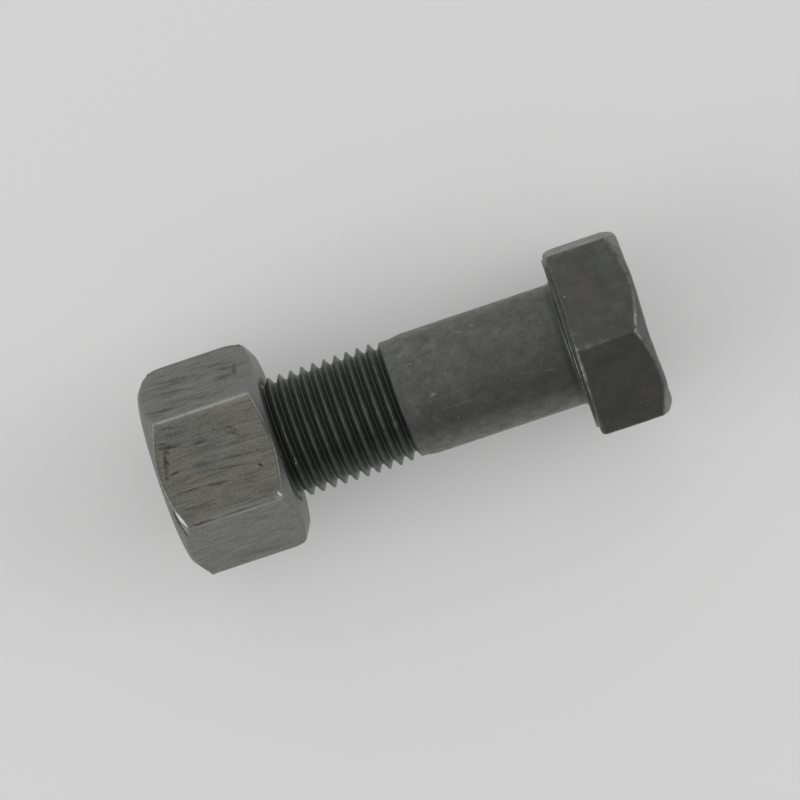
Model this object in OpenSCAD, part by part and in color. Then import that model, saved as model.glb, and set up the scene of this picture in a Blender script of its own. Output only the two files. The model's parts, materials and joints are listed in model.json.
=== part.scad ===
// Hexagon head bolt with a plain fitted shank, a fine right-hand thread and its hexagon nut.
// It lies as it comes to rest: on one flat of the nut and on the lowest corner of the head.
// The origin is on the bolt's axis, at the bearing face under the head, and the head points to +X.

/* [Bolt] */
// Length of the bolt, from the bearing face under the head to the end of the thread
bolt_length = 54; // [50:0.5:75]
// Length of the plain shank, from the bearing face to the thread's last groove
shank_length = 22.4; // [12:0.1:28]
// Diameter of the plain shank
shank_diameter = 16; // [15.1:0.1:18]
// Radius of the fillet between the shank and the bearing face
fillet_radius = 0.6; // [0.2:0.1:1.2]
// Length over which the shank rounds off towards the thread
shoulder_length = 2; // [0.5:0.1:4]
// How far the rounded end of the shank has fallen at the thread, on the radius
shoulder_depth = 0.45; // [0.1:0.05:0.8]

/* [Thread] */
// Outside diameter of the thread
thread_diameter = 16; // [15:0.1:17]
// Distance from one thread crest to the next
thread_pitch = 1.5; // [1:0.25:2]
// Length of the chamfer on the end of the thread
end_chamfer = 1.2; // [0.5:0.1:2]
// Gap between the thread crests and the bore of the nut, on the radius
thread_clearance = 0.05; // [0.03:0.01:0.1]

/* [Head] */
// Width of the head across its flats
head_flats = 23.7; // [22.6:0.1:26]
// Height of the head, with its washer face
head_height = 10; // [7:0.1:14]
// Diameter of the round top face of the head
head_top_diameter = 22.5; // [18:0.1:22.6]
// Slope of the chamfer round the top of the head, in degrees
head_chamfer_slope = 33; // [15:1:40]
// Diameter of the round washer face under the head
washer_face_diameter = 22.5; // [20:0.1:22.6]
// Height of the washer face
washer_face_height = 0.6; // [0.4:0.1:2]
// Angle from straight down to the lowest corner of the head, in degrees
head_roll = 4.9; // [0:0.1:15]

/* [Nut] */
// Width of the nut across its flats
nut_flats = 23.7; // [23.4:0.1:26]
// Height of the nut
nut_height = 15.5; // [10:0.1:20]
// Diameter of the round face on the outer end of the nut
outer_face_diameter = 22.9; // [20:0.1:23.4]
// Slope of the deep chamfer round the outer end, in degrees
outer_chamfer_slope = 38; // [15:1:45]
// Diameter of the round face on the end that clamps the work
inner_face_diameter = 22.7; // [20:0.1:23.4]
// Slope of the shallow chamfer round the clamping end, in degrees
inner_chamfer_slope = 30; // [15:1:45]
// Diameter of the countersinks at both mouths of the bore
countersink_diameter = 17.1; // [17:0.1:19]
// Angle between the sides of each countersink, in degrees
countersink_angle = 120; // [60:5:120]
// Distance from the outer end of the nut in to the end of the bolt
end_inset = 0.2; // [0:0.1:1.5]

/* [Hidden] */
bolt_colour = "#4b4944";
nut_colour = "#85837c";
$fn = 96;
// Overlap that joins two forms or carries a cut past a face
bite = 0.5;
// Angle between the two flanks of the thread groove, and the groove's depth for a pitch of 1
flank_angle = 60;
depth_per_pitch = 0.6134;

shank_radius = shank_diameter / 2;
thread_radius = thread_diameter / 2;
root_radius = thread_radius - depth_per_pitch * thread_pitch;
bore_radius = thread_radius + thread_clearance;
washer_face_radius = washer_face_diameter / 2;
countersink_radius = countersink_diameter / 2;
countersink_depth = (countersink_radius - bore_radius) / tan(countersink_angle / 2);

// The shoulder is an arc that leaves the shank without a corner
shoulder_curve = (shoulder_length * shoulder_length + shoulder_depth * shoulder_depth) / (2 * shoulder_depth);

// The last groove of the thread, which falls from the shoulder and climbs to the first full crest
shoulder_floor = shank_radius - shoulder_depth;
groove_floor = shank_length + (shoulder_floor - root_radius) * tan(flank_angle / 2);
thread_start = groove_floor + (thread_radius - root_radius) * tan(flank_angle / 2);

// Places along the axis, as distances from the bearing face towards the thread
nut_outer_end = bolt_length + end_inset;
nut_inner_end = nut_outer_end - nut_height;

// The tilt that brings the nut's lowest flat and the head's lowest corner to one level
head_corner_radius = corner_radius(head_flats);
head_drop = head_corner_radius * cos(head_roll);
nut_drop = nut_flats / 2;
nut_contact = nut_outer_end - chamfer_drop(nut_drop, outer_face_diameter, outer_chamfer_slope);
lie_angle = atan2(head_drop - nut_drop, nut_contact + washer_face_height);

// Distance from the axis to a corner of a hexagon with this width across its flats
function corner_radius(flats) = flats / 2 / cos(30);

// How far a chamfer has fallen from a round face of this diameter, at a distance out from the axis
function chamfer_drop(radius, face_diameter, slope) = (radius - face_diameter / 2) * tan(slope);

// Lays a form down: its own +Z becomes the bolt's axis, and its own +X points to the ground
module lying() {
    rotate([0, 90 - lie_angle, 0]) children();
}

// Hexagonal prism on Z = 0 whose ends are chamfered by cones, each from a round face outwards
module chamfered_hexagon(flats, height, low_face, low_slope, high_face, high_slope) {
    reach = corner_radius(flats) + bite;
    low_rise = chamfer_drop(reach, low_face, low_slope);
    high_fall = chamfer_drop(reach, high_face, high_slope);
    intersection() {
        cylinder(r = corner_radius(flats), h = height, $fn = 6);
        rotate_extrude()
            polygon([
                [0, 0],
                [low_face / 2, 0],
                [reach, low_rise],
                [reach, height - high_fall],
                [high_face / 2, height],
                [0, height]
            ]);
    }
}

// Hexagon of the head, sharp on its underside and chamfered on top, with one corner nearly down
module head() {
    underside = 2 * head_corner_radius + bite;
    rotate([0, 0, head_roll])
        translate([0, 0, washer_face_height])
            chamfered_hexagon(
                head_flats, head_height - washer_face_height,
                underside, 0, head_top_diameter, head_chamfer_slope
            );
}

// Round washer face between the hexagon and the bearing face
module washer_face() {
    cylinder(r = washer_face_radius, h = washer_face_height + bite);
}

// Half outline of the shank, with the bearing face at Y = 0 and the end of the thread below it
module shank_outline() {
    difference() {
        union() {
            translate([0, -shank_length]) square([shank_radius, shank_length + bite]);
            translate([0, -fillet_radius]) square([shank_radius + fillet_radius, fillet_radius + bite]);
            polygon([
                [0, -shank_length],
                [shoulder_floor, -shank_length],
                [root_radius, -groove_floor],
                [thread_radius, -thread_start],
                [thread_radius, end_chamfer - bolt_length],
                [thread_radius - end_chamfer, -bolt_length],
                [0, -bolt_length]
            ]);
        }
        translate([shank_radius + fillet_radius, -fillet_radius]) circle(r = fillet_radius);
        shoulder_corner();
    }
}

// What the rounded shoulder takes off the end of the plain shank
module shoulder_corner() {
    difference() {
        translate([shoulder_floor, -shank_length]) square([2 * shoulder_depth, shoulder_length]);
        translate([shank_radius - shoulder_curve, shoulder_length - shank_length]) circle(r = shoulder_curve);
    }
}

// The bolt, forged and threaded from one piece
module bolt() {
    color(bolt_colour)
        lying()
            union() {
                head();
                washer_face();
                rotate_extrude() shank_outline();
            }
}

// The nut on the end of the thread, with one flat down and its deeper chamfer outwards
module nut() {
    color(nut_colour)
        lying()
            translate([0, 0, -nut_outer_end])
                difference() {
                    rotate([0, 0, 30])
                        chamfered_hexagon(
                            nut_flats, nut_height,
                            outer_face_diameter, outer_chamfer_slope,
                            inner_face_diameter, inner_chamfer_slope
                        );
                    translate([0, 0, -bite]) cylinder(r = bore_radius, h = nut_height + 2 * bite);
                    countersink();
                    translate([0, 0, nut_height]) mirror([0, 0, 1]) countersink();
                }
}

// Cone cut into the face at Z = 0, from the countersink's rim down to the bore
module countersink() {
    slope = tan(countersink_angle / 2);
    translate([0, 0, -bite])
        cylinder(
            r1 = countersink_radius + bite * slope,
            r2 = bore_radius,
            h = countersink_depth + bite
        );
}

bolt();
nut();
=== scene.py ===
# Hexagon head bolt with its nut run on to the end of the thread, lying on a pale floor.
import json
import math
import bmesh
import bpy
import numpy as np
from mathutils import Matrix, Vector, noise


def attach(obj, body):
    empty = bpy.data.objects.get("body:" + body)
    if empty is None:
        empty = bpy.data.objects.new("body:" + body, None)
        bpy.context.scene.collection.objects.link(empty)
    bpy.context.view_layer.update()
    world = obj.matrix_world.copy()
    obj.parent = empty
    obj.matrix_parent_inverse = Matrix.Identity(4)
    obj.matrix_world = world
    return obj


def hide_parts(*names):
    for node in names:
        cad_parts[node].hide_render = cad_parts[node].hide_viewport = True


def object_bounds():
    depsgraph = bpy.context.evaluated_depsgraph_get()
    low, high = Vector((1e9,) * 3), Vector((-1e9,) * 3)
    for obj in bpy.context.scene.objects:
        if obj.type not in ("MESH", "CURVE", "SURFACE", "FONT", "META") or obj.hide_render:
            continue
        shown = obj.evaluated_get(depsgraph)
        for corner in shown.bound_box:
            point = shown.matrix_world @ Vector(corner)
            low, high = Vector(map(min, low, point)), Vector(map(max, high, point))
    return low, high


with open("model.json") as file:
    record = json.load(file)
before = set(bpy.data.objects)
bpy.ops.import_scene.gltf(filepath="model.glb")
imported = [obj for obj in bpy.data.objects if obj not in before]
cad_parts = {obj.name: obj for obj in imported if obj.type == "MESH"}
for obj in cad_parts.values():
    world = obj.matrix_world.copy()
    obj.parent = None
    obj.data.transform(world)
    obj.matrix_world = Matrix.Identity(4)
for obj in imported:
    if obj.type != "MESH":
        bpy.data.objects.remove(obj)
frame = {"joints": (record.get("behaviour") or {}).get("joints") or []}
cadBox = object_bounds()

# Directions of the part: along the bolt towards its head, level across it, and up from it
mm = 0.001
alongDir = Vector(frame["joints"][0]["axis"]).normalized()
acrossDir = Vector((0, 1, 0))
aboveDir = alongDir.cross(acrossDir)
partDirs = np.array([alongDir, acrossDir, aboveDir])
floorHeight = cadBox[0].z


# Skins are drawn in mm as rings of points round the bolt, each point an along and a radius at one angle.
# The materials read three values of each point, from 0 to 1: worn, turned and a darkness, which stands for
# real stain and oxide and also for painted shade in creases, grooves and along some edges.
def newSkin(columns):
    return {"columns": columns, "points": [], "faces": [], "worn": [], "turned": [], "stainAndShade": []}


# Angle, radius and wear of each column of points, round a hexagon with rounded corners
def hexagonColumns(plan, arcSteps=6, flatSteps=28):
    roundings, wears = plan["cornerRounding"], plan["cornerWear"]

    def onCorner(i, lean):
        corner, soft = math.radians(plan["turn"] + 60 * i), roundings[i % 6]
        middle = (plan["flats"] / 2 - soft) / math.cos(math.radians(30))
        angle = corner + math.radians(lean)
        across = middle * math.cos(corner) + soft * math.cos(angle)
        return np.array([across, middle * math.sin(corner) + soft * math.sin(angle)])

    spots, wear = [], []
    for i in range(6):
        for k in range(arcSteps + 1):
            spots.append(onCorner(i, 60 * k / arcSteps - 30))
            wear.append(wears[i] * math.sin(math.pi * (k + 0.5) / (arcSteps + 1)))
        start, end = spots[-1], onCorner(i + 1, -30)
        for k in range(1, flatSteps):
            spots.append(start + (end - start) * k / flatSteps)
            wear.append(0.0)
    across, above = np.array(spots).T
    return {
        "angle": np.unwrap(np.arctan2(above, across)),
        "radius": np.hypot(across, above),
        "wear": np.array(wear),
    }


# One ring of points; every value is one number or one for each column
def addRing(skin, along, radius, worn=0.0, turned=0.0, stainAndShade=0.0):
    angle = skin["columns"]["angle"]
    count = len(angle)
    along = np.broadcast_to(along, count)
    radius = np.broadcast_to(radius, count)
    first = len(skin["points"])
    skin["points"].extend(zip(along, radius * np.cos(angle), radius * np.sin(angle)))
    for key, value in (("worn", worn), ("turned", turned), ("stainAndShade", stainAndShade)):
        skin[key].extend(np.broadcast_to(value, count))
    return list(range(first, first + count))


# Faces from one ring to the next
def bridge(skin, ringA, ringB):
    count = len(ringA)
    for j in range(count):
        k = (j + 1) % count
        skin["faces"].append((ringA[j], ringA[k], ringB[k], ringB[j]))


# Closes a ring with a fan of faces round one turned point on the axis
def capRing(skin, ring, along):
    tip = len(skin["points"])
    skin["points"].append((along, 0.0, 0.0))
    for key, value in (("worn", 0.0), ("turned", 1.0), ("stainAndShade", 0.0)):
        skin[key].append(value)
    count = len(ring)
    for j in range(count):
        skin["faces"].append((ring[j], ring[(j + 1) % count], tip))


# A corner of the outline is rounded by a curve that leaves both of its sides smoothly
def softCorner(before, corner, after, cut, steps):
    longest = 0.45               # share of a side that the curve may take up
    cut = np.broadcast_to(cut, len(corner))[:, None]
    ends = []
    for neighbour in (before, after):
        side = neighbour - corner
        length = np.linalg.norm(side, axis=1, keepdims=True)
        ends.append(corner + side / length * np.minimum(cut, longest * length))
    shares = [k / steps for k in range(steps + 1)]
    return [(1 - t) ** 2 * ends[0] + 2 * t * (1 - t) * corner + t * t * ends[1] for t in shares]


# Rings through the corners of an outline; rows fill the stretch from one corner to the next
def addOutline(skin, corners):
    columns = skin["columns"]
    count = len(columns["angle"])
    spots = []
    for corner in corners:
        along = np.broadcast_to(corner["along"], count)
        radius = np.broadcast_to(corner["radius"], count)
        spots.append(np.stack([along, radius], axis=1).astype(float))
    bends = []
    for i, corner in enumerate(corners):
        if "soft" in corner:
            steps = corner.get("steps", 4)
            bends.append(softCorner(spots[i - 1], spots[i], spots[i + 1], corner["soft"], steps))
        else:
            bends.append([spots[i]])
    rings = []
    for i, corner in enumerate(corners):
        turned, stainAndShade = corner.get("turned", 0.0), corner.get("stainAndShade", 0.0)
        edgeWear = corner.get("cornerWear", 0.0) * columns["wear"]
        bend = bends[i]
        for k, spot in enumerate(bend):
            swell = math.sin(math.pi * k / (len(bend) - 1)) if len(bend) > 1 else 0.0
            worn = np.maximum(corner.get("worn", 0.0) * swell, edgeWear)
            rings.append(addRing(skin, spot[:, 0], spot[:, 1], worn, turned, stainAndShade))
        if i + 1 == len(corners):
            break
        turned, stainAndShade = corner.get("turnedRows", turned), corner.get("stainAndShadeRows", 0.0)
        rows = corner.get("rows", 1)
        for k in range(1, rows):
            spot = bend[-1] + (bends[i + 1][0] - bend[-1]) * (k / rows)
            worn = corner.get("sideWear", 0.0) * columns["wear"]
            if "wearFades" in corner:
                worn = worn * (1 - smoothStep(*corner["wearFades"], spot[:, 0]))
            rings.append(addRing(skin, spot[:, 0], spot[:, 1], worn, turned, stainAndShade))
    for ringA, ringB in zip(rings, rings[1:]):
        bridge(skin, ringA, ringB)
    return rings


# A band whose rows follow a right-hand helix, cut off square at both of its ends
def addHelix(skin, thread, lowRing, lowAlong, highRing, highAlong, phases, surfaceAt):
    nearEnd = 0.015              # points this near to an end give way to its ring, mm
    angle = skin["columns"]["angle"]
    pitch, crestAt, lines = thread["pitch"], thread["crestAt"], len(phases)
    firstTurn = math.floor((lowAlong - crestAt) / pitch) - 2
    lastTurn = math.ceil((highAlong - crestAt) / pitch) + 2
    turns = np.repeat(np.arange(firstTurn, lastTurn + 1), lines)
    phase = np.tile(np.array(phases), lastTurn + 1 - firstTurn)
    along = crestAt + pitch * ((turns + phase)[:, None] + angle[None, :] / (2 * math.pi))
    isLow, isHigh = along < lowAlong + nearEnd, along > highAlong - nearEnd
    index = np.where(isLow, np.array(lowRing)[None, :], np.array(highRing)[None, :])
    free = ~(isLow | isHigh)
    radius, worn, stainAndShade = surfaceAt(along, np.broadcast_to(phase[:, None], along.shape))
    index[free] = len(skin["points"]) + np.arange(free.sum())
    spread = np.broadcast_to(angle[None, :], along.shape)[free]
    skin["points"].extend(zip(along[free], radius[free] * np.cos(spread), radius[free] * np.sin(spread)))
    skin["worn"].extend(worn[free])
    skin["turned"].extend(np.zeros(free.sum()))
    skin["stainAndShade"].extend(stainAndShade[free])
    rows = len(turns) - lines
    wrapped = np.concatenate([index[:rows], index[lines:, :1]], axis=1)
    for k in range(rows - 1):
        for a, b, c, d in zip(wrapped[k], wrapped[k, 1:], wrapped[k + 1, 1:], wrapped[k + 1]):
            face = list(dict.fromkeys((int(a), int(b), int(c), int(d))))
            if len(face) > 2:
                skin["faces"].append(tuple(face))


def smoothStep(low, high, value):
    share = np.clip((value - low) / (high - low), 0, 1)
    return share * share * (3 - 2 * share)


# Rises at angles round the bolt, each with its middle, its spread and its height, for uneven rims and edges
def sumOf(columns, bulges):
    total = 0
    for middle, spread, height in bulges:
        away = (np.degrees(columns["angle"]) - middle + 180) % 360 - 180
        total = total + height * np.exp(-(away / spread) ** 2)
    return total


# Turns a skin into an object: forged unevenness and dents first, then the part's own place
def finishSkin(skin, name, unevennessAt, dents):
    coarse, fine, fineShare = 0.42, 1.3, 0.4     # waves per mm of the unevenness, and the finer one's share
    sharpFrom = 42                               # edges from this angle on are shaded as edges, degrees
    points = np.array(skin["points"], float)
    worn, stainAndShade = np.array(skin["worn"], float), np.array(skin["stainAndShade"], float)
    draft = bpy.data.meshes.new(name + "Draft")
    draft.from_pydata(points.tolist(), [], skin["faces"])
    turnFacesOut(draft, draft)
    normals = np.array([v.normal for v in draft.vertices])
    wander = [noise.noise(Vector(p) * coarse) + fineShare * noise.noise(Vector(p) * fine) for p in points]
    shift = unevennessAt(points) * np.array(wander)
    for dent in dents:
        depth, newWorn, newStainAndShade = dent(points)
        shift = shift - depth
        worn, stainAndShade = np.maximum(worn, newWorn), np.maximum(stainAndShade, newStainAndShade)
    points = points + normals * shift[:, None]
    draft.vertices.foreach_set("co", ((points * mm) @ partDirs).astype(np.float32).ravel())
    mesh = bpy.data.meshes.new(name)
    turnFacesOut(draft, mesh)
    bpy.data.meshes.remove(draft)
    for key, value in (("worn", worn), ("turned", np.array(skin["turned"])), ("stainAndShade", stainAndShade)):
        layer = mesh.attributes.new(key, "FLOAT", "POINT")
        layer.data.foreach_set("value", value.astype(np.float32))
    layer = mesh.attributes.new("place", "FLOAT_VECTOR", "POINT")
    layer.data.foreach_set("vector", points.astype(np.float32).ravel())
    mesh.shade_smooth()
    mesh.set_sharp_from_angle(angle=math.radians(sharpFrom))
    piece = bpy.data.objects.new(name, mesh)
    bpy.context.scene.collection.objects.link(piece)
    piece.modifiers.new("evenShading", "WEIGHTED_NORMAL").keep_sharp = True
    print(name, "has", len(mesh.vertices), "points and", len(mesh.polygons), "faces")
    return piece


def turnFacesOut(source, target):
    shape = bmesh.new()
    shape.from_mesh(source)
    bmesh.ops.recalc_face_normals(shape, faces=shape.faces)
    shape.to_mesh(target)
    shape.free()


# A round knock in the skin, with a depth and some bright metal in it
def knock(place, size, depth, shine):
    spot = np.array(place, float)

    def press(points):
        near = np.exp(-(np.linalg.norm(points - spot, axis=1) / size) ** 2)
        return depth * near, shine * near, 0 * near
    return press


# A gouge from one place to another: a narrow groove with a raised bright lip, its floor darkened as painted
# shade
def gouge(startPlace, endPlace, lipDir, width, depth, lip):
    lipAt, lipSpread = 0.75 * width, 0.35 * width
    bluntness, narrowest = 0.6, 0.15     # of the gouge's ends; under 1 is blunt, and a share of the width
    start, end = np.array(startPlace, float), np.array(endPlace, float)
    run = end - start
    squared = run @ run
    side = np.array(lipDir, float)
    side = side - run * (side @ run) / squared
    side = side / np.linalg.norm(side)

    def press(points):
        share = np.clip((points - start) @ run / squared, 0, 1)
        offset = points - start - share[:, None] * run
        distance = np.linalg.norm(offset, axis=1)
        taper = np.sin(np.pi * share) ** bluntness
        halfWidth = width / 2 * np.maximum(taper, narrowest)
        floor = np.clip(1 - distance / halfWidth, 0, 1) * (taper > 0)
        ridge = np.exp(-((offset @ side - lipAt) / lipSpread) ** 2) * taper * (distance < width * 2)
        # the floor's darkness is painted shade in the groove
        return depth * floor - lip * ridge, ridge, np.clip(floor * 2, 0, 1)
    return press


# Materials. Lengths in them are mm on the part, and effects that both materials use are node groups.
def addNode(tree, kind, **settings):
    node = tree.nodes.new(kind)
    for key, value in settings.items():
        setattr(node, key, value)
    return node


# Links a socket from another one, or sets it to a number, a place or a colour
def feed(tree, value, socket):
    if isinstance(value, bpy.types.NodeSocket):
        tree.links.new(value, socket)
    elif socket.type == "RGBA":
        socket.default_value = (*value, 1)
    else:
        socket.default_value = value


def stretchTo(tree, value, low, high, ends=(0.0, 1.0)):
    stretch = addNode(tree, "ShaderNodeMapRange")
    labels = ("Value", "From Min", "From Max", "To Min", "To Max")
    for label, given in zip(labels, (value, low, high, *ends)):
        feed(tree, given, stretch.inputs[label])
    return stretch.outputs["Result"]


def mathNode(tree, operation, first, second, clamp=False):
    node = addNode(tree, "ShaderNodeMath", operation=operation, use_clamp=clamp)
    feed(tree, first, node.inputs[0])
    feed(tree, second, node.inputs[1])
    return node.outputs[0]


def multiply(tree, first, *others):
    for other in others:
        first = mathNode(tree, "MULTIPLY", first, other)
    return first


def vectorNode(tree, operation, first, second=None):
    node = addNode(tree, "ShaderNodeVectorMath", operation=operation)
    feed(tree, first, node.inputs[0])
    if second is not None:
        feed(tree, second, node.inputs["Scale" if operation == "SCALE" else 1])
    return node.outputs["Value" if operation in ("LENGTH", "DOT_PRODUCT") else "Vector"]


def addNoise(tree, place, perMm, detail, roughness=0.5):
    cloud = addNode(tree, "ShaderNodeTexNoise")
    given = {"Vector": place, "Scale": perMm, "Detail": detail, "Roughness": roughness}
    for label, value in given.items():
        feed(tree, value, cloud.inputs[label])
    return cloud


def splitPlace(tree, place):
    split = addNode(tree, "ShaderNodeSeparateXYZ")
    feed(tree, place, split.inputs[0])
    return tuple(split.outputs)


def joinPlace(tree, **parts):
    join = addNode(tree, "ShaderNodeCombineXYZ")
    for axis, value in parts.items():
        feed(tree, value, join.inputs[axis.upper()])
    return join.outputs[0]


# Begins a node group with one output; an input without a number is a place or a direction
def startGroup(name, inputs, output):
    group = bpy.data.node_groups.new(name, "ShaderNodeTree")
    for label, value in inputs.items():
        kind = "NodeSocketVector" if value is None else "NodeSocketFloat"
        socket = group.interface.new_socket(name=label, in_out="INPUT", socket_type=kind)
        if value is not None:
            socket.default_value = value
    group.interface.new_socket(name=output, in_out="OUTPUT", socket_type="NodeSocketFloat")
    return group, addNode(group, "NodeGroupInput").outputs, addNode(group, "NodeGroupOutput").inputs[output]


# Lines drawn along the bolt, as on cold-drawn bar
def makeDrawnLines():
    group, given, result = startGroup("drawnLines", {
        "Place": None, "Along per mm": 0.1, "Across per mm": 3.0, "Seed": 0.0, "From": 0.35, "To": 0.65,
    }, "Lines")
    scale = joinPlace(group, x=given["Along per mm"], y=given["Across per mm"], z=given["Across per mm"])
    moved = vectorNode(group, "ADD", vectorNode(group, "MULTIPLY", given["Place"], scale), given["Seed"])
    grain = addNoise(group, moved, perMm=1.0, detail=4.0, roughness=0.6)
    feed(group, stretchTo(group, grain.outputs["Fac"], given["From"], given["To"]), result)
    return group


# Soft patches with no direction, for oxide, oil and handling
def makePatches():
    group, given, result = startGroup("patches", {
        "Place": None, "Per mm": 0.3, "Seed": 0.0, "From": 0.4, "To": 0.6,
    }, "Patch")
    moved = vectorNode(group, "ADD", given["Place"], given["Seed"])
    cloud = addNoise(group, moved, given["Per mm"], detail=5.0, roughness=0.6)
    feed(group, stretchTo(group, cloud.outputs["Fac"], given["From"], given["To"]), result)
    return group


# Fine rings left by turning, round the bolt's axis
def makeTurnedRings():
    group, given, result = startGroup("turnedRings", {
        "Place": None, "Per mm": 5.0, "From": 0.35, "To": 0.65,
    }, "Rings")
    along, across, above = splitPlace(group, given["Place"])
    radius = vectorNode(group, "LENGTH", joinPlace(group, y=across, z=above))
    grain = addNoise(group, joinPlace(group, x=radius, y=along), given["Per mm"], detail=3.0)
    feed(group, stretchTo(group, grain.outputs["Fac"], given["From"], given["To"]), result)
    return group


# Wear along edges, broken up so that it comes and goes
def makeWornEdges():
    group, given, result = startGroup("wornEdges", {
        "Worn": 0.0, "Place": None, "Per mm": 1.2, "Break": 0.3, "Full": 0.6,
    }, "Mask")
    cloud = addNoise(group, given["Place"], given["Per mm"], detail=4.0, roughness=0.65)
    broken = stretchTo(group, cloud.outputs["Fac"], given["Break"], given["Full"])
    feed(group, mathNode(group, "MULTIPLY", given["Worn"], broken, clamp=True), result)
    return group


# One mark of a given length and width, lying in a given direction
def makeMark():
    group, given, result = startGroup("mark", {
        "Place": None, "Middle": None, "Direction": None,
        "Half length": 1.0, "Half width": 0.2, "Strength": 1.0,
    }, "Mask")
    away = vectorNode(group, "SUBTRACT", given["Place"], given["Middle"])
    lengthways = vectorNode(group, "DOT_PRODUCT", away, given["Direction"])
    sideways = vectorNode(group, "LENGTH", vectorNode(group, "CROSS_PRODUCT", away, given["Direction"]))
    lengthShare = mathNode(group, "DIVIDE", lengthways, given["Half length"])
    widthShare = mathNode(group, "DIVIDE", sideways, given["Half width"])
    size = vectorNode(group, "LENGTH", joinPlace(group, x=lengthShare, y=widthShare))
    edge, fullTo = 1.0, 0.35     # shares of the mark's size: where it is gone, and how far out it is full
    fade = stretchTo(group, size, edge, fullTo)
    feed(group, multiply(group, fade, given["Strength"]), result)
    return group


print("making the shared finishes")
effects = {
    "lines": makeDrawnLines(),
    "patches": makePatches(),
    "rings": makeTurnedRings(),
    "worn": makeWornEdges(),
    "mark": makeMark(),
}


# The ways in which a piece's finish writes its effects
def drawnLines(alongPerMm, acrossPerMm, seed, start, full):
    return "lines", {
        "Along per mm": alongPerMm, "Across per mm": acrossPerMm, "Seed": seed, "From": start, "To": full,
    }


def softPatches(perMm, seed, start, full):
    return "patches", {"Per mm": perMm, "Seed": seed, "From": start, "To": full}


def turnedRings(perMm):
    return "rings", {"Per mm": perMm}


def placeEffect(tree, place, effect, values):
    node = addNode(tree, "ShaderNodeGroup", node_tree=effects[effect])
    for label, value in {"Place": place, **values}.items():
        feed(tree, value, node.inputs[label])
    return node.outputs[0]


def placeEffects(tree, place, written):
    return {name: placeEffect(tree, place, *effect) for name, effect in written.items()}


# Lays the colours of a finish over its base, each where its mask is
def layColours(tree, finish, masks):
    factor, under, over, mixed = 0, 6, 7, 2          # a mix node's sockets for colours, by their order
    colour = finish["base"]
    for name, (colourName, share) in finish["layers"].items():
        mask = masks[name] if share == 1 else multiply(tree, masks[name], share)
        mix = addNode(tree, "ShaderNodeMix", data_type="RGBA")
        feed(tree, mask, mix.inputs[factor])
        feed(tree, colour, mix.inputs[under])
        feed(tree, finish["colours"][colourName], mix.inputs[over])
        colour = mix.outputs[mixed]
    return colour


# Places moved about a little, so that the marks drawn with them get ragged edges
def raggedPlace(tree, place):
    perMm, reach = 2.5, 0.16
    cloud = addNoise(tree, place, perMm, detail=4.0)
    centred = vectorNode(tree, "SUBTRACT", cloud.outputs["Color"], (0.5, 0.5, 0.5))
    return vectorNode(tree, "ADD", place, vectorNode(tree, "SCALE", centred, reach))


# A place on a flat of a piece's hexagon, from its distances along the bolt and across the flat.
# Flats are named by their angle from the hexagon's first corner.
def onFlat(plan, flat):
    angle, inner = math.radians(plan["turn"] + flat), plan["flats"] / 2

    def placeAt(along, across):
        return Vector((
            along,
            inner * math.cos(angle) - across * math.sin(angle),
            inner * math.sin(angle) + across * math.cos(angle),
        ))
    return placeAt


# A place on a round of the bolt, from its distance along and its angle
def onRound(radius):
    def placeAt(along, facing):
        angle = math.radians(facing)
        return Vector((along, radius * math.cos(angle), radius * math.sin(angle)))
    return placeAt


# Marks as one mask: each is written as the two places of its ends, its width and its strength
def joinMarks(tree, ragged, *sets, spread=1.0):
    mask = None
    for placeAt, marks in sets:
        for a, b, c, d, width, strength in marks:
            start, end = placeAt(a, b), placeAt(c, d)
            run, halfWidth = end - start, width * spread / 2
            mark = placeEffect(tree, ragged, "mark", {
                "Middle": (start + end) / 2, "Direction": run.normalized(),
                "Half length": run.length / 2 + halfWidth, "Half width": halfWidth, "Strength": strength,
            })
            mask = mark if mask is None else mathNode(tree, "MAXIMUM", mask, mark)
    return mask


def flatMarks(plan, name):
    return [(onFlat(plan, flat), marks) for flat, marks in plan["finish"][name].items()]


def readLayer(tree, name, output="Fac"):
    return addNode(tree, "ShaderNodeAttribute", attribute_name=name).outputs[output]


def wornMask(tree, place, perMm, start, full):
    worn = readLayer(tree, "worn")
    return placeEffect(tree, place, "worn", {"Worn": worn, "Per mm": perMm, "Break": start, "Full": full})


def startMaterial(name):
    material = bpy.data.materials.new(name)
    material.use_nodes = True
    tree = material.node_tree
    return material, tree, tree.nodes["Principled BSDF"]


# Both steels end alike: their colour, a roughness that follows a mask, and a grain in relief
def finishSteel(tree, shader, finish, colour, sheen, grain):
    shader.inputs["Metallic"].default_value = 1.0
    feed(tree, colour, shader.inputs["Base Color"])
    feed(tree, stretchTo(tree, sheen, 0.0, 1.0, finish["roughness"]), shader.inputs["Roughness"])
    bump = addNode(tree, "ShaderNodeBump")
    bump.inputs["Strength"].default_value = finish["relief"]
    bump.inputs["Distance"].default_value = finish["reliefDepth"] * mm
    feed(tree, grain, bump.inputs["Height"])
    feed(tree, bump.outputs["Normal"], shader.inputs["Normal"])


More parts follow.
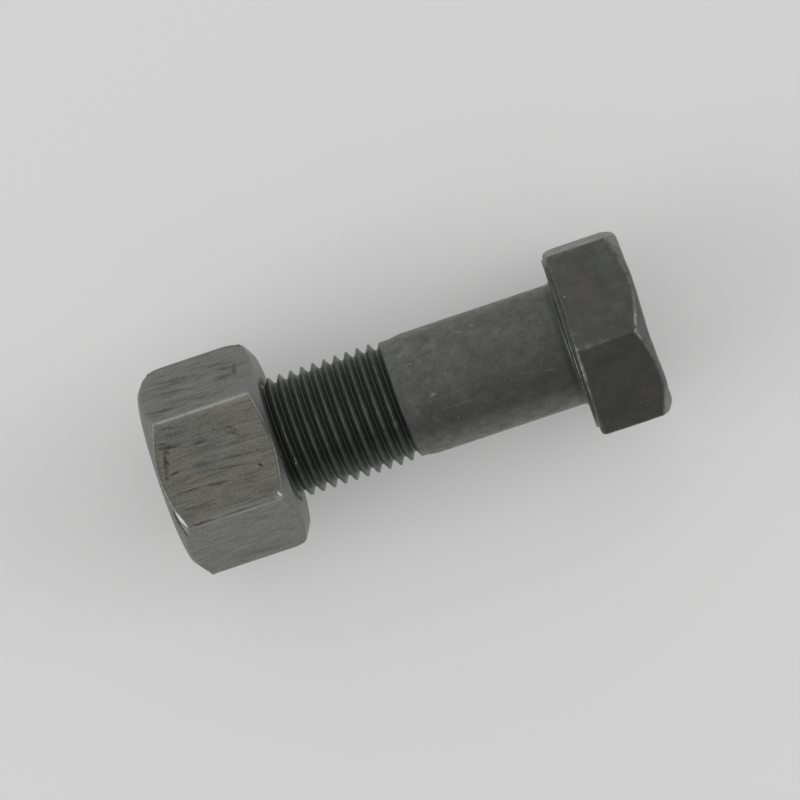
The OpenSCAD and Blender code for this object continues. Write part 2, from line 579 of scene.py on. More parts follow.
# In both plans a length along is in mm from the bearing face, and an angle round the bolt is in degrees
# from level across to straight up.
boltPlan = {
    "length": 54.0,              # under the head
    "shankRadius": 8.0,
    "filletRadius": 0.6,
    "flats": 23.7,
    "headHeight": 10.0,          # with the washer face
    "headShift": -0.1,           # the head was forged this far off the shank, level across
    "turn": 34.9,                # angle of the head's first corner
    "topFaceRadius": 11.25,
    "chamferSlope": 33.0,
    "washerRadius": 11.25,
    "washerHeight": 0.6,
    "cornerRounding": (1.0, 0.5, 0.5, 0.4, 0.5, 0.8),
    "cornerWear": (0.1, 0.32, 0.1, 0.3, 0.3, 0.1),
    # round the head, each as its angle, its spread and its rise; a spread of 400 goes nearly evenly round
    "rimWaves": ((62, 16, 0.15), (137, 15, 0.22), (100, 15, -0.06), (162, 9, 0.2)),
    "underWaves": ((155, 20, -0.25), (108, 22, -0.2), (-25, 14, -0.4)),
    "underSoftening": (
        (0, 400, 0.26), (106, 16, 0.36), (-25, 14, 1.3), (155, 14, 0.6), (55, 16, 0.4),
    ),
    "chamferWear": 0.28,
    "chamferRubs": ((87, 6, 0.5), (97, 3, 0.7)),
    "underWear": 0.05,
    "underRubs": ((108, 17, 0.95),),
    "unevenness": 0.03,          # how far the forged skin of the head wanders
    "shankUnevenness": 0.0075,
    "headUneven": (0.2, 1.0),    # the head's unevenness begins and is full
    "shankUneven": (-20, -18, -1.5, 0),      # the shank's begins, is full, fades and ends
    "knocks": (   # place as along, across and above, size, depth, shine
        ((4.98, -1.05, 13.4), 0.35, 0.12, 0.0), ((8.4, -1.1, 13.1), 0.3, 0.1, 1.0),
        ((-23.97, -2.83, 7.48), 0.3, 0.25, 1.0), ((-37.71, -2.9, 7.46), 0.32, 0.25, 1.0),
        ((-37.03, -3.94, 6.96), 0.25, 0.2, 1.0), ((-36.38, -6.65, 4.45), 0.25, 0.2, 1.0),
        ((-18.05, -0.68, 7.97), 0.25, 0.05, 0.6),
    ),
    "thread": {
        "pitch": 1.5,
        "crestRadius": 8.0,
        "depth": 0.92,
        "crestAt": -24.39,           # a crest crosses the level side of the bolt here
        "groove": (                  # share of the pitch from the crest, share of the depth, wear
            (0.0, 0.0, 0.13), (0.055, 0.0, 0.1), (0.08, 0.035, 0.0), (0.2, 0.4, 0.0),
            (0.36, 0.86, 0.0), (0.43, 0.965, 0.0), (0.5, 1.0, 0.0),
        ),
        "endChamfer": 1.2,
        "neckDrop": 0.23,            # how far the blank dips between the shank and the full thread
        "neck": (20.0, 21.9, 22.9, 24.4),    # the dip begins, is full, ends, and the crests are full
        "helixFrom": 21.4,           # the helical rows begin this far from the bearing face
        "runOut": (0.55, 0.95),      # the last groove fades out over this part of its turn, on the far side
        "crestStain": 0.15,          # darkness of the crests, where 1 is the root
    },
    "finish": {
        "base": (0.15, 0.157, 0.143),
        "colours": {
            "brown": (0.153, 0.146, 0.132),
            "dark": (0.08, 0.084, 0.076),
            "light": (0.25, 0.248, 0.228),
            # thread tones by depth: crests kept dark, painted shade that keeps their highlight thin; flanks
            # lighter, painted light for the darker surroundings they reflect; roots dark with oil and oxide.
            # The crest tone also paints shade under the head.
            "crest": (0.08, 0.085, 0.079),
            "flank": (0.185, 0.196, 0.186),
            "root": (0.074, 0.079, 0.074),
            "rust": (0.13, 0.112, 0.1),
            "bright": (0.45, 0.45, 0.41),
        },
        "effects": {
            "cloud": softPatches(0.2, 1, 0.36, 0.64),
            "mottle": softPatches(0.8, 8, 0.4, 0.66),
            "rolled": drawnLines(0.12, 2.2, 6, 0.5, 0.72),
            "pale": softPatches(0.5, 21, 0.5, 0.75),
            "fleck": softPatches(2.6, 15, 0.52, 0.7),
            "pit": softPatches(2.2, 31, 0.52, 0.7),
            "blotch": softPatches(0.35, 40, 0.42, 0.62),
            "grain": softPatches(5.0, 4, 0.3, 0.7),
        },
        "layers": {   # the colour and the share of each mask, laid over the base in this order
            "cloud": ("brown", 1), "mottle": ("dark", 0.42), "rolled": ("dark", 0.25),
            "pale": ("light", 0.45), "fleck": ("light", 0.3), "pit": ("dark", 0.35),
            "underHead": ("dark", 0.28), "upperFlat": ("dark", 0.25), "pastCorner": ("dark", 0.6),
            "blotch": ("dark", 0.42), "turned": ("light", 0.4), "rusty": ("rust", 1), "shades": ("dark", 1),
            "crests": ("crest", 1), "flanks": ("flank", 1), "roots": ("root", 1),
            "scuffs": ("bright", 1), "worn": ("bright", 1),
        },
        # where each of these begins and is full: along, across, or in the thread's darkness
        "head": (0.3, 0.7),
        # painted shade on the shank towards the head, full from there on over the head
        "underHead": (-14.0, -1.0),
        # painted shade on the head's upper flat, and more of it by its far corner
        "upperFlat": (-1.4, -0.8),
        "pastCorner": (10.9, 11.0, 12.3),    # it begins, is full and ends
        # the thread's tones by its darkness: painted shade on the crests, painted light on the flanks, oil
        # and oxide in the roots
        "crests": (0.0, 0.12),
        "flanks": (0.16, 0.4),
        "roots": (0.7, 1.0),
        "worn": (1.1, 0.36, 0.58),   # patches per mm, and the noise at which the wear begins and is full
        "roughness": (0.3, 0.44),
        "relief": 0.5,               # strength of the grain, and its depth in mm
        "reliefDepth": 0.03,
        "scuffs": (   # both ends as along and angle, width, strength
            (-18.9, 110.7, -12.8, 111.5, 0.3, 0.16), (-16.2, 123.6, -16.1, 124.0, 0.22, 0.9),
            (-13.1, 151.0, -13.0, 151.2, 0.3, 0.3), (-11.1, 41.2, -10.8, 41.8, 0.45, 0.25),
            (-13.0, 43.6, -12.2, 46.3, 0.4, 0.18), (-2.75, 63.0, -2.3, 64.2, 0.2, 0.3),
            (-18.1, 94.8, -17.9, 95.3, 0.5, 0.25), (-4.15, 106.9, -2.1, 108.4, 0.3, 0.2),
            (-8.1, 100.6, -4.7, 105.6, 0.3, 0.1), (-20.7, 48.0, -20.5, 48.5, 0.6, 0.2),
            (-19.8, 61.0, -19.6, 61.4, 0.4, 0.28), (-18.6, 61.8, -18.5, 62.1, 0.35, 0.28),
            (-21.8, 63.6, -21.5, 64.0, 0.4, 0.25), (-15.4, 117.2, -15.3, 117.4, 0.2, 0.4),
            (-3.95, 96.0, -4.25, 102.3, 0.2, 0.22), (-11.0, 101.0, -10.9, 102.0, 0.3, 0.15),
            (-18.8, 69.7, -16.9, 72.2, 0.2, 0.18), (-22.25, 105.0, -22.1, 119.0, 0.4, 0.18),
            (-23.95, 110.0, -23.85, 112.5, 0.25, 0.8), (-37.6, 115.0, -37.2, 116.5, 0.4, 0.8),
        ),
        "grooveScuffs": ((-23.22, 121.0, -23.07, 136.0, 0.2, 0.9),),
        "rimRadius": 12.3,           # of the darker patch on the head's chamfer, which is written like the scuffs
        "darkRim": ((9.3, 168.0, 9.3, 190.0, 3.0, 0.85),),
        "chips": {   # by flat: both ends as along and across, width, strength
            30: (
                (1.3, -0.75, 1.45, -0.65, 0.22, 0.8), (0.95, 4.4, 1.1, 4.6, 0.3, 0.3),
                (0.7, 6.5, 0.85, 7.1, 0.4, 0.5), (4.75, 6.6, 4.9, 7.0, 0.35, 0.4),
                (8.3, 6.8, 8.55, 7.05, 0.3, 0.8), (0.75, -4.7, 0.95, -4.6, 0.4, 0.2),
            ),
            90: (
                (4.1, -3.1, 4.25, -3.05, 0.25, 0.3), (3.8, 1.05, 4.0, 1.1, 0.3, 0.2),
                (6.2, 3.8, 6.4, 3.85, 0.3, 0.3),
            ),
        },
        "shades": {   # darker patches, written like the chips
            30: (
                (1.8, 5.2, 7.6, 5.4, 3.4, 0.35), (5.0, 6.9, 5.4, 7.0, 0.5, 0.6),
                (6.2, -2.0, 7.0, -0.6, 1.2, 0.3),
            ),
            90: ((0.9, -5.6, 1.0, -3.0, 0.7, 0.4),),
        },
        "rusty": {
            90: ((6.9, -1.5, 8.3, 1.5, 2.6, 0.6), (1.3, 3.2, 3.5, 3.2, 1.6, 0.4)),
            30: ((3.4, -3.4, 5.5, 1.5, 3.4, 0.35),),
        },
    },
}
boltThread = boltPlan["thread"]


# Radius of the thread's blank, which dips between the shank and the first full crests
def blankRadiusAt(distance):
    dipStart, dipFull, riseStart, riseEnd = boltThread["neck"]
    dip = smoothStep(dipStart, dipFull, distance) * (1 - smoothStep(riseStart, riseEnd, distance))
    return boltThread["crestRadius"] - boltThread["neckDrop"] * dip


def boltThreadAt(along, phase):
    share = np.abs(phase - np.round(phase))          # of the pitch, from the nearest crest
    shares, depths, wears = np.array(boltThread["groove"]).T
    depth = np.interp(share, shares, depths) * boltThread["depth"]
    worn = np.interp(share, shares, wears)
    turn = (along - boltThread["crestAt"]) / boltThread["pitch"] - phase % 1.0
    fade = 1 - smoothStep(*boltThread["runOut"], turn)
    chamferStart = boltPlan["length"] - boltThread["endChamfer"]
    chamfer = boltThread["crestRadius"] - np.maximum(-along - chamferStart, 0)
    radius = np.minimum(blankRadiusAt(-along) - fade * depth, chamfer)
    # darkness by depth, which the material turns into painted shade on the crests, painted light on the
    # flanks and oil and oxide in the roots
    crestStain = boltThread["crestStain"]
    stainAndShade = crestStain + (1 - crestStain) * np.clip(depth / boltThread["depth"], 0, 1)
    return radius, worn * fade, stainAndShade * fade


def boltUnevenness(points):
    along = points[:, 0]
    start, full, fade, end = boltPlan["shankUneven"]
    head = smoothStep(*boltPlan["headUneven"], along)
    shank = smoothStep(start, full, along) * (1 - smoothStep(fade, end, along))
    return head * boltPlan["unevenness"] + shank * boltPlan["shankUnevenness"]


def buildBolt():
    plan = boltPlan
    columns = hexagonColumns(plan)
    skin = newSkin(columns)
    hexagon = columns["radius"]
    face, washer, shank = plan["topFaceRadius"], plan["washerRadius"], plan["shankRadius"]
    top = plan["headHeight"] + sumOf(columns, plan["rimWaves"])
    chamferEdge = top - (hexagon - face) * math.tan(math.radians(plan["chamferSlope"]))
    underside = plan["washerHeight"] + sumOf(columns, plan["underWaves"])
    chamferWear = plan["chamferWear"] + sumOf(columns, plan["chamferRubs"])
    underWear = plan["underWear"] + sumOf(columns, plan["underRubs"])
    neckStart, neckEnd = boltThread["neck"][0], boltThread["helixFrom"]
    innermost = 0.6              # radius of the last ring on the top face
    corners = [
        {"along": plan["headHeight"], "radius": innermost, "rows": 8},
        {"along": top, "radius": face, "soft": 0.35, "worn": 0.15, "rows": 8, "turned": 0.5},
        {"along": chamferEdge, "radius": hexagon, "soft": 0.35, "worn": chamferWear,
         "rows": 34, "sideWear": 1, "wearFades": (4.6, 5.4)},
        # The underside, the washer face and the fillet get a darkness of 0.1, which lays the dark crest tone
        # over them: painted shade under the head.
        {"along": underside, "radius": hexagon, "soft": sumOf(columns, plan["underSoftening"]),
         "worn": underWear, "cornerWear": 1, "rows": 4, "stainAndShadeRows": 0.1},
        {"along": underside, "radius": washer, "soft": 0.12, "rows": 3, "stainAndShade": 0.1},
        {"along": 0, "radius": washer, "soft": 0.14, "worn": underWear, "turned": 1.0, "stainAndShade": 0.1,
         "rows": 6, "stainAndShadeRows": 0.1},
        {"along": 0, "radius": shank, "soft": plan["filletRadius"], "steps": 6, "rows": 32, "stainAndShade": 0.1},
        {"along": -neckStart, "radius": shank},
    ]
    rings = addOutline(skin, corners)
    capRing(skin, rings[0], plan["headHeight"])
    last = rings[-1]
    neckRows = 8
    for k in range(1, neckRows + 1):
        distance = neckStart + (neckEnd - neckStart) * k / neckRows
        ring = addRing(skin, -distance, blankRadiusAt(distance))
        bridge(skin, last, ring)
        last = ring
    endRadius = boltThread["crestRadius"] - boltThread["endChamfer"]
    endRing = addRing(skin, -plan["length"], endRadius, worn=0.5, turned=1.0)
    phases = sorted({side * step[0] for step in boltThread["groove"] for side in (-1, 1)} - {-0.5})
    addHelix(skin, boltThread, endRing, -plan["length"], last, -neckEnd, phases, boltThreadAt)
    previous = endRing
    for share in (0.97, 0.8, 0.6, 0.4, 0.2, 0.06):       # rings of the bolt's end, in to its middle
        ring = addRing(skin, -plan["length"], endRadius * share, turned=1.0)
        bridge(skin, previous, ring)
        previous = ring
    capRing(skin, previous, -plan["length"])
    points = np.array(skin["points"])
    pastFillet = shank + plan["filletRadius"] + 0.1
    forged = (points[:, 0] > -0.01) & (np.hypot(points[:, 1], points[:, 2]) > pastFillet)
    points[forged, 1] += plan["headShift"]
    skin["points"] = points
    return finishSkin(skin, "boltBody", boltUnevenness, [knock(*given) for given in plan["knocks"]])


def makeBoltSteel():
    finish = boltPlan["finish"]
    material, tree, shader = startMaterial("darkSteel")
    place = readLayer(tree, "place", "Vector")
    ragged = raggedPlace(tree, place)
    along, across = splitPlace(tree, place)[:2]
    masks = placeEffects(tree, place, finish["effects"])
    onHead = stretchTo(tree, along, *finish["head"])
    # painted shade: darker towards the head, where the head shades the shank
    masks["underHead"] = stretchTo(tree, along, *finish["underHead"])
    # painted shade on the head's upper flat, deeper by its far corner
    masks["upperFlat"] = multiply(tree, onHead, stretchTo(tree, across, *finish["upperFlat"]))
    start, full, end = finish["pastCorner"]
    corner = multiply(tree, stretchTo(tree, across, start, full), stretchTo(tree, across, end, full))
    masks["pastCorner"] = multiply(tree, masks["upperFlat"], corner)
    masks["blotch"] = multiply(tree, masks["blotch"], onHead)
    masks["turned"] = readLayer(tree, "turned")
    masks["rusty"] = joinMarks(tree, ragged, *flatMarks(boltPlan, "rusty"))
    darkRim = (onRound(finish["rimRadius"]), finish["darkRim"])
    masks["shades"] = joinMarks(tree, ragged, *flatMarks(boltPlan, "shades"), darkRim)
    stainAndShade = readLayer(tree, "stainAndShade")
    # thread tones: painted shade on the crests, painted light on the flanks, oil and oxide in the roots
    for name in ("crests", "flanks", "roots"):
        masks[name] = stretchTo(tree, stainAndShade, *finish[name])
    scuffs = (onRound(boltPlan["shankRadius"]), finish["scuffs"])
    grooveFloor = boltThread["crestRadius"] - boltThread["depth"]
    grooveScuffs = (onRound(grooveFloor), finish["grooveScuffs"])
    masks["scuffs"] = joinMarks(tree, ragged, scuffs, grooveScuffs, *flatMarks(boltPlan, "chips"))
    masks["worn"] = wornMask(tree, place, *finish["worn"])
    finishSteel(tree, shader, finish, layColours(tree, finish, masks), masks["mottle"], masks["grain"])
    return material


print("making the bolt")
bolt = buildBolt()
bolt.data.materials.append(makeBoltSteel())
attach(bolt, "bolt")
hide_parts("bolt")

nutPlan = {
    "flats": 23.7,
    "turn": 0,
    "outerEnd": -54.2,
    "innerEnd": -38.7,
    "outerFaceRadius": 11.45,
    "outerSlope": 38.0,
    "innerFaceRadius": 11.35,
    "innerSlope": 30.0,
    "rimRadius": 8.55,
    "rimSlope": 60.0,            # of the countersinks, from the end faces in towards the bore
    "minorRadius": 7.24,
    "threadGap": 0.045,          # clearance beside the bolt's thread, along
    "threadOversize": 0.06,      # clearance over the bolt's crests
    "crestShare": 0.0625,        # half of the crest's flat as a share of the pitch
    "cornerRounding": (0.5, 0.58, 0.28, 0.3, 0.35, 0.4),
    "cornerWear": (0.3, 0.7, 0.3, 0.3, 0.5, 0.5),
    # round the nut, each as its angle, its spread and its amount, as on the bolt
    "innerWear": ((0, 400, 0.12), (70, 9, 0.5), (102, 12, 0.15)),
    "outerWear": ((0, 400, 0.1), (62, 5, 0.3), (117, 4, 0.7)),
    "innerSoftening": ((0, 400, 0.1), (30, 20, 0.2), (150, 20, 0.1)),
    # painted shade that dims the highlight along the outer edge
    "outerEdgeShade": ((86, 18, 0.35),),
    # painted shade on the inner chamfer and its edge, where they reflect the bolt's dark thread
    "chamferShade": ((90, 16, 0.3),),
    "innerStain": 0.15,
    "innerEdgeShade": ((81, 9, 0.5),),
    "unevenness": 0.008,
    "unevenFrom": (8.6, 9.4),    # radii where it begins and is full, so that the bore and its rims stay round
    "threadStain": 0.5,
    "gouge": {   # in the outer chamfer, its places as along, across and above
        "startPlace": (-53.62, -4.2, 11.42), "endPlace": (-53.0, -7.8, 10.35), "lipDir": (1, 0, 0.5),
        "width": 0.62, "depth": 0.45, "lip": 0.1,
    },
    "knocks": (   # place, size, depth, shine; a depth below 0 is a burr
        ((-40.1, -6.9, 11.8), 0.3, 0.1, 1.0), ((-40.75, -6.75, 11.75), 0.22, 0.06, 1.0),
        ((-39.9, 13.5, 0.4), 1.2, 0.4, 0.0), ((-52.7, 13.5, 0.4), 1.0, 0.28, 0.0),
        ((-39.8, -13.5, 0.4), 0.8, 0.3, 0.0), ((-53.2, -12.9, 0.0), 0.25, -0.12, 0.2),
        ((-52.6, -13.4, 0.0), 0.3, -0.12, 0.2),
    ),
    "finish": {
        "base": (0.248, 0.25, 0.235),
        "colours": {
            # cooler and darker: painted shade on the far flat
            "coolShade": (0.227, 0.225, 0.224),
            # lighter and yellower: painted light on the top flat
            "paintedLightTone": (0.275, 0.271, 0.221),
            "turned": (0.27, 0.272, 0.258),
            "streak": (0.08, 0.08, 0.072),
            # darkest tone, for real stains and for painted shade
            "stainAndShade": (0.03, 0.031, 0.027),
            "bright": (0.5, 0.5, 0.47),
            # near white, for the painted glints
            "paintedGlint": (0.92, 0.92, 0.89),
        },
        "effects": {
            "broad": drawnLines(0.14, 0.9, 3, 0.4, 0.66),
            "fine": drawnLines(0.45, 3.6, 11, 0.36, 0.64),
            "fresh": drawnLines(0.06, 4.2, 23, 0.58, 0.72),
            "stainBreak": drawnLines(0.8, 4.6, 2, 0.34, 0.54),
            "grains": softPatches(2.6, 7, 0.36, 0.64),
            "grit": softPatches(4.5, 17, 0.48, 0.7),
            "dust": softPatches(3.8, 29, 0.5, 0.72),
            # broad patches that break up the painted light on the top flat
            "paintedLightPatches": softPatches(0.16, 5, 0.38, 0.62),
            "rings": turnedRings(4.0),
        },
        "layers": {   # the colour and the share of each mask, laid over the base in this order
            "paintedShadeFarSide": ("coolShade", 1), "paintedLightPatches": ("paintedLightTone", 1), "turned": ("turned", 1), "drawn": ("streak", 1),
            "speckle": ("streak", 0.5), "grit": ("bright", 0.2), "dust": ("streak", 0.28),
            "fresh": ("bright", 0.5), "rings": ("streak", 0.3), "worn": ("bright", 1),
            "paintedHighlights": ("bright", 1), "stainAndShade": ("stainAndShade", 1), "paintedGlints": ("paintedGlint", 1),
        },
        # where each of these begins and is full, across or above
        # painted shade on the far flat
        "paintedShadeFarSide": (5.0, 8.0),
        # painted light on the top flat, in broad patches
        "paintedLightTop": (11.2, 11.8),
        "linedSide": (-7.2, -6.2),   # all but the low flat
        "drawnShare": (0.32, 0.2),   # of the drawn lines, and what they have more on the lined side
        "markShare": 0.85,
        "markSpread": 1.6,           # the marks run this much wider than written, for their soft edges
        "worn": (0.7, 0.3, 0.46),
        "roughness": (0.34, 0.46),
        "relief": 0.6,
        "reliefDepth": 0.03,
        "marks": {   # by flat: both ends as along and across, width, strength
            90: (
                (-53.1, -3.8, -50.0, -3.3, 0.42, 1.0), (-53.0, -4.3, -51.4, -4.0, 0.2, 0.8),
                (-52.0, -3.1, -51.8, -2.7, 0.4, 0.8), (-52.4, -2.0, -52.2, -1.5, 0.35, 0.9),
                (-53.1, 0.0, -52.9, 0.3, 0.35, 0.8), (-52.1, -3.7, -53.0, 0.3, 0.42, 0.8),
                (-52.8, 0.0, -51.0, -0.3, 0.32, 0.9), (-48.6, -2.9, -46.5, -3.0, 0.45, 0.55),
                (-44.3, -3.3, -42.5, -2.2, 0.4, 0.6), (-43.9, -3.8, -42.6, -2.7, 0.4, 0.6),
                (-49.9, -0.3, -46.4, 0.0, 0.4, 0.6), (-52.7, 2.3, -48.6, 2.6, 0.24, 0.75),
                (-48.6, 2.6, -45.7, 2.8, 0.4, 0.7), (-49.0, 0.6, -40.9, 1.8, 0.16, 0.7),
                (-41.4, 2.1, -41.2, 2.3, 0.35, 1.0), (-47.3, -0.1, -40.7, 0.4, 0.18, 0.5),
                (-47.1, -1.7, -41.4, -1.3, 0.2, 0.5), (-52.2, -6.0, -49.0, -5.5, 0.22, 0.6),
                (-51.9, -5.0, -49.8, -4.9, 0.22, 0.5), (-53.0, 4.5, -47.7, 5.0, 0.3, 0.4),
                (-45.2, 2.7, -39.9, 3.0, 0.2, 0.4), (-52.2, 6.8, -48.7, 6.85, 0.34, 1.0),
                (-48.7, 6.85, -42.4, 6.85, 0.24, 0.75), (-45.6, -4.0, -45.3, -3.7, 0.25, 0.5),
            ),
            30: (
                (-52.1, -3.0, -45.8, -1.7, 0.72, 0.71), (-51.6, -1.5, -46.9, -1.5, 0.48, 0.57),
                (-52.9, -0.5, -46.2, 1.2, 0.56, 0.57), (-53.1, 3.9, -49.2, 4.6, 0.8, 0.81),
                (-52.9, 4.9, -51.0, 5.3, 0.48, 0.66), (-44.8, -3.1, -41.2, -2.2, 0.96, 0.57),
                (-41.1, -1.7, -41.2, 1.7, 0.56, 0.76), (-43.5, 1.0, -41.9, 0.9, 1.12, 0.71),
                (-43.0, -1.3, -41.4, -0.8, 0.8, 0.57), (-48.3, 3.7, -44.8, 4.0, 0.48, 0.43),
                (-51.0, 2.8, -46.4, 3.3, 0.64, 0.38), (-51.5, 0.5, -49.0, 1.0, 1.28, 0.33),
            ),
            150: (
                (-51.4, 3.9, -40.0, 5.4, 1.2, 0.3), (-51.6, 2.1, -48.9, 2.2, 0.7, 0.3),
                (-52.6, -1.5, -49.7, -1.2, 0.3, 0.3),
            ),
        },
        "paintedHighlights": {   # painted highlights: light lines beside the lower corner of the top flat
            90: ((-52.6, 6.5, -40.2, 6.5, 0.36, 0.25), (-50.5, 6.15, -43.0, 6.2, 0.15, 0.15)),
            150: ((-52.4, -6.35, -40.3, -6.35, 0.5, 0.17),),
        },
        "paintedGlints": {   # painted glints: highlights at the gouge's lip and at the lower inner corner
            90: (
                (-53.25, 4.7, -52.55, 6.75, 0.36, 0.7), (-40.3, 6.2, -40.0, 6.75, 0.3, 1.0),
                (-40.55, 6.8, -40.4, 6.84, 0.2, 0.8),
            ),
        },
    },
}


def nutThreadAt(along, phase):
    plan, pitch = nutPlan, boltThread["pitch"]
    share = np.abs(phase - np.round(phase))          # of the pitch, from the nearest of the bolt's crests
    flankRun = pitch / math.tan(math.radians(30))
    flank = np.maximum(share - plan["crestShare"] - plan["threadGap"] / pitch, 0) * flankRun
    radius = np.maximum(boltThread["crestRadius"] + plan["threadOversize"] - flank, plan["minorRadius"])
    fromEnd = np.minimum(along - plan["outerEnd"], plan["innerEnd"] - along)
    countersink = plan["rimRadius"] - fromEnd * math.tan(math.radians(plan["rimSlope"]))
    radius = np.maximum(radius, countersink)
    return radius, np.zeros_like(radius), np.full_like(radius, plan["threadStain"])


def nutUnevenness(points):
    return nutPlan["unevenness"] * smoothStep(*nutPlan["unevenFrom"], np.hypot(points[:, 1], points[:, 2]))


def buildNut():
    plan = nutPlan
    columns = hexagonColumns(plan)
    skin = newSkin(columns)
    hexagon = columns["radius"]
    outer, inner, rim = plan["outerEnd"], plan["innerEnd"], plan["rimRadius"]
    outerFace, innerFace = plan["outerFaceRadius"], plan["innerFaceRadius"]
    outerEdge = outer + (hexagon - outerFace) * math.tan(math.radians(plan["outerSlope"]))
    innerEdge = inner - (hexagon - innerFace) * math.tan(math.radians(plan["innerSlope"]))
    lead = 0.12                  # first part of each countersink, drawn with the end faces
    leadRadius = rim - lead * math.tan(math.radians(plan["rimSlope"]))
    corners = [
        {"along": outer + lead, "radius": leadRadius, "turned": 1},
        {"along": outer, "radius": rim, "soft": 0.06, "worn": 0.4, "turned": 1, "rows": 6},
        {"along": outer, "radius": outerFace, "soft": 0.16, "worn": 0.3, "turned": 1, "rows": 22},
        # the outer edge's darkness is painted shade that dims its highlight
        {"along": outerEdge, "radius": hexagon, "soft": 0.14, "worn": sumOf(columns, plan["outerWear"]),
         "cornerWear": 1, "turned": 0.5, "stainAndShade": sumOf(columns, plan["outerEdgeShade"]),
         "rows": 54, "turnedRows": 0, "sideWear": 1},
        # painted shade on the inner edge and chamfer, where they reflect the dark thread
        {"along": innerEdge, "radius": hexagon, "soft": sumOf(columns, plan["innerSoftening"]),
         "worn": sumOf(columns, plan["innerWear"]), "cornerWear": 1, "turned": 0.5,
         "stainAndShade": plan["innerStain"] + sumOf(columns, plan["innerEdgeShade"]),
         "rows": 8, "turnedRows": 1, "stainAndShadeRows": sumOf(columns, plan["chamferShade"])},
        {"along": inner, "radius": innerFace, "soft": 0.14, "worn": 0.2, "turned": 1, "rows": 6},
        {"along": inner, "radius": rim, "soft": 0.06, "worn": 0.4, "turned": 1},
        {"along": inner - lead, "radius": leadRadius, "turned": 1},
    ]
    rings = addOutline(skin, corners)
    rowsPerTurn = 12
    phases = [(k - 5) / rowsPerTurn for k in range(rowsPerTurn)]
    addHelix(skin, boltThread, rings[0], outer + lead, rings[-1], inner - lead, phases, nutThreadAt)
    dents = [gouge(**plan["gouge"])] + [knock(*given) for given in plan["knocks"]]
    return finishSkin(skin, "nutBody", nutUnevenness, dents)


def makeNutSteel():
    finish = nutPlan["finish"]
    material, tree, shader = startMaterial("bareSteel")
    place = readLayer(tree, "place", "Vector")
    ragged = raggedPlace(tree, place)
    across, above = splitPlace(tree, place)[1:]
    masks = placeEffects(tree, place, finish["effects"])
    turned = readLayer(tree, "turned")
    asDrawn = mathNode(tree, "SUBTRACT", 1.0, turned)
    fineLines = multiply(tree, masks["fine"], asDrawn)
    masks["turned"] = turned
    masks["rings"] = multiply(tree, masks["rings"], turned)
    # painted shade: a cooler, darker tone on the far flat
    masks["paintedShadeFarSide"] = stretchTo(tree, across, *finish["paintedShadeFarSide"])
    # painted light: a lighter, yellower tone on the top flat, in broad patches
    masks["paintedLightPatches"] = multiply(tree, masks["paintedLightPatches"], stretchTo(tree, above, *finish["paintedLightTop"]))
    least, more = finish["drawnShare"]
    lined = stretchTo(tree, across, *finish["linedSide"])
    share = mathNode(tree, "ADD", least, multiply(tree, lined, more))
    masks["drawn"] = multiply(tree, masks["broad"], fineLines, share)
    masks["speckle"] = multiply(tree, masks["grains"], fineLines)
    masks["fresh"] = multiply(tree, masks["fresh"], asDrawn)
    masks["worn"] = wornMask(tree, place, *finish["worn"])
    # the marks are real stains; the other two are painted highlights and painted glints
    for name in ("marks", "paintedHighlights", "paintedGlints"):
        masks[name] = joinMarks(tree, ragged, *flatMarks(nutPlan, name), spread=finish["markSpread"])
    stainBreak = mathNode(tree, "MAXIMUM", masks["stainBreak"], masks["grains"])
    marks = multiply(tree, masks["marks"], stainBreak, finish["markShare"])
    # the darkest tone: real stains from the marks, and the points' darkness, which is painted shade in the
    # gouge and along the edges
    masks["stainAndShade"] = mathNode(tree, "MAXIMUM", marks, readLayer(tree, "stainAndShade"))
    relief = mathNode(tree, "ADD", fineLines, masks["rings"])
    finishSteel(tree, shader, finish, layColours(tree, finish, masks), masks["fine"], relief)
    return material


print("making the nut")
nut = buildNut()
nut.data.materials.append(makeNutSteel())
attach(nut, "nut")
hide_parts("nut")

studio = {
    "floorColour": (0.74, 0.745, 0.738),
    "floorRoughness": 0.75,
    "floorSheen": 0.2,
    "floorGlow": 0.15,           # the paper lets a little light through from below
    "floorSize": 6.0,
    # tones of the sky: from the near side, over the top, to the far side
    "worldTones": ((0.0, 0.31), (0.5, 0.48), (1.0, 0.7)),
    "lamps": (   # name, place in metres, size in metres, power in watts
        ("leftBox", (-1.4, -0.12, 0.75), 1.2, 5.5),
        ("rightBox", (1.4, -0.12, 0.75), 1.2, 5.5),
    ),
}


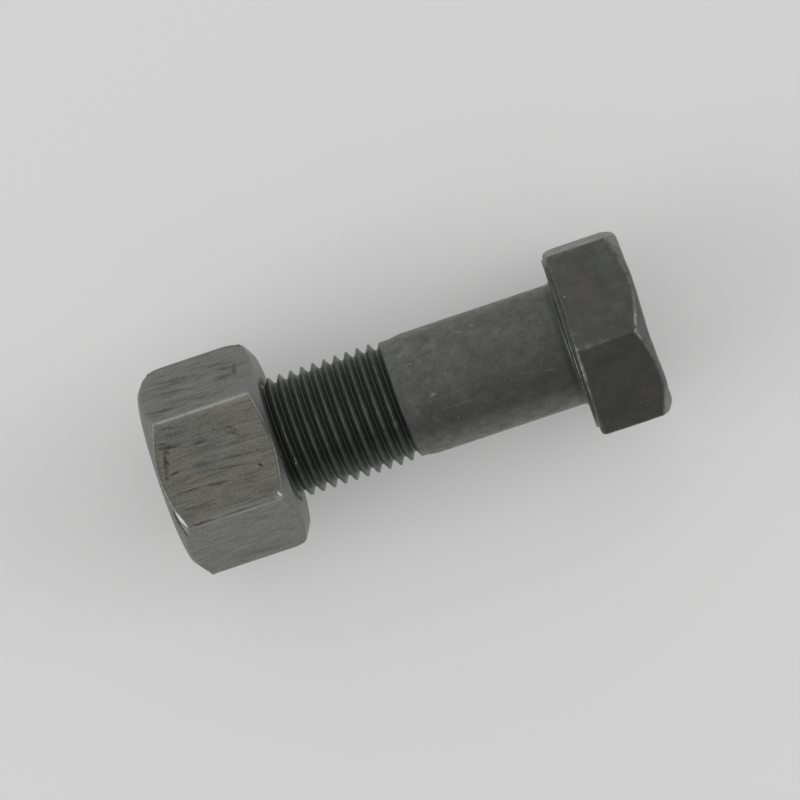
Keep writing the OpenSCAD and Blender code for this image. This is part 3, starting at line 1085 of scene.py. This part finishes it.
def buildFloor():
    half = studio["floorSize"] / 2
    corners = [(x * half, y * half, floorHeight) for x, y in ((-1, -1), (1, -1), (1, 1), (-1, 1))]
    mesh = bpy.data.meshes.new("floor")
    mesh.from_pydata(corners, [], [(0, 1, 2, 3)])
    floor = bpy.data.objects.new("floor", mesh)
    bpy.context.scene.collection.objects.link(floor)
    material, tree, shader = startMaterial("paleFloor")
    shader.inputs["Base Color"].default_value = (*studio["floorColour"], 1)
    shader.inputs["Roughness"].default_value = studio["floorRoughness"]
    shader.inputs["Specular IOR Level"].default_value = studio["floorSheen"]
    shader.inputs["Emission Color"].default_value = (1, 1, 1, 1)
    shader.inputs["Emission Strength"].default_value = studio["floorGlow"]
    mesh.materials.append(material)


def buildLight():
    world = bpy.data.worlds.new("studio")
    bpy.context.scene.world = world
    world.use_nodes = True
    tree = world.node_tree
    direction = addNode(tree, "ShaderNodeTexCoord").outputs["Generated"]
    ramp = addNode(tree, "ShaderNodeValToRGB")
    feed(tree, stretchTo(tree, splitPlace(tree, direction)[1], -1.0, 1.0), ramp.inputs[0])
    tones = studio["worldTones"]
    ramp.color_ramp.elements.new(tones[1][0])
    for stop, (position, tone) in zip(ramp.color_ramp.elements, tones):
        stop.position = position
        stop.color = (tone, tone, tone, 1)
    feed(tree, ramp.outputs[0], tree.nodes["Background"].inputs["Color"])
    for name, place, size, power in studio["lamps"]:
        lamp = bpy.data.lights.new(name, "AREA")
        lamp.size = size
        lamp.energy = power
        box = bpy.data.objects.new(name, lamp)
        box.location = place
        box.rotation_euler = (-Vector(place)).to_track_quat("-Z", "Y").to_euler()
        bpy.context.scene.collection.objects.link(box)


cameraPlan = {
    "lens": 180.7,
    "place": (1.74, -0.05, 512.5),   # along, across and above the bearing face's centre, mm
    "lean": 2.733,                   # towards the head, degrees
    "roll": 18.503,                  # of the picture, degrees
}


def buildCamera():
    lean, roll = math.radians(cameraPlan["lean"]), math.radians(cameraPlan["roll"])
    back = alongDir * math.sin(lean) + aboveDir * math.cos(lean)
    level = alongDir * math.cos(lean) - aboveDir * math.sin(lean)
    right = level * math.cos(roll) - acrossDir * math.sin(roll)
    up = back.cross(right)
    camera = bpy.data.objects.new("camera", bpy.data.cameras.new("camera"))
    camera.data.lens = cameraPlan["lens"]
    camera.data.sensor_width = 36
    camera.data.clip_start = 0.05
    camera.data.clip_end = 20
    camera.matrix_world = Matrix((right, up, back)).transposed().to_4x4()
    camera.matrix_world.translation = Vector((np.array(cameraPlan["place"]) * mm) @ partDirs)
    bpy.context.scene.collection.objects.link(camera)
    bpy.context.scene.camera = camera


print("setting the floor, the light and the camera")
buildFloor()
buildLight()
buildCamera()
bpy.context.scene.view_settings.view_transform = "Standard"
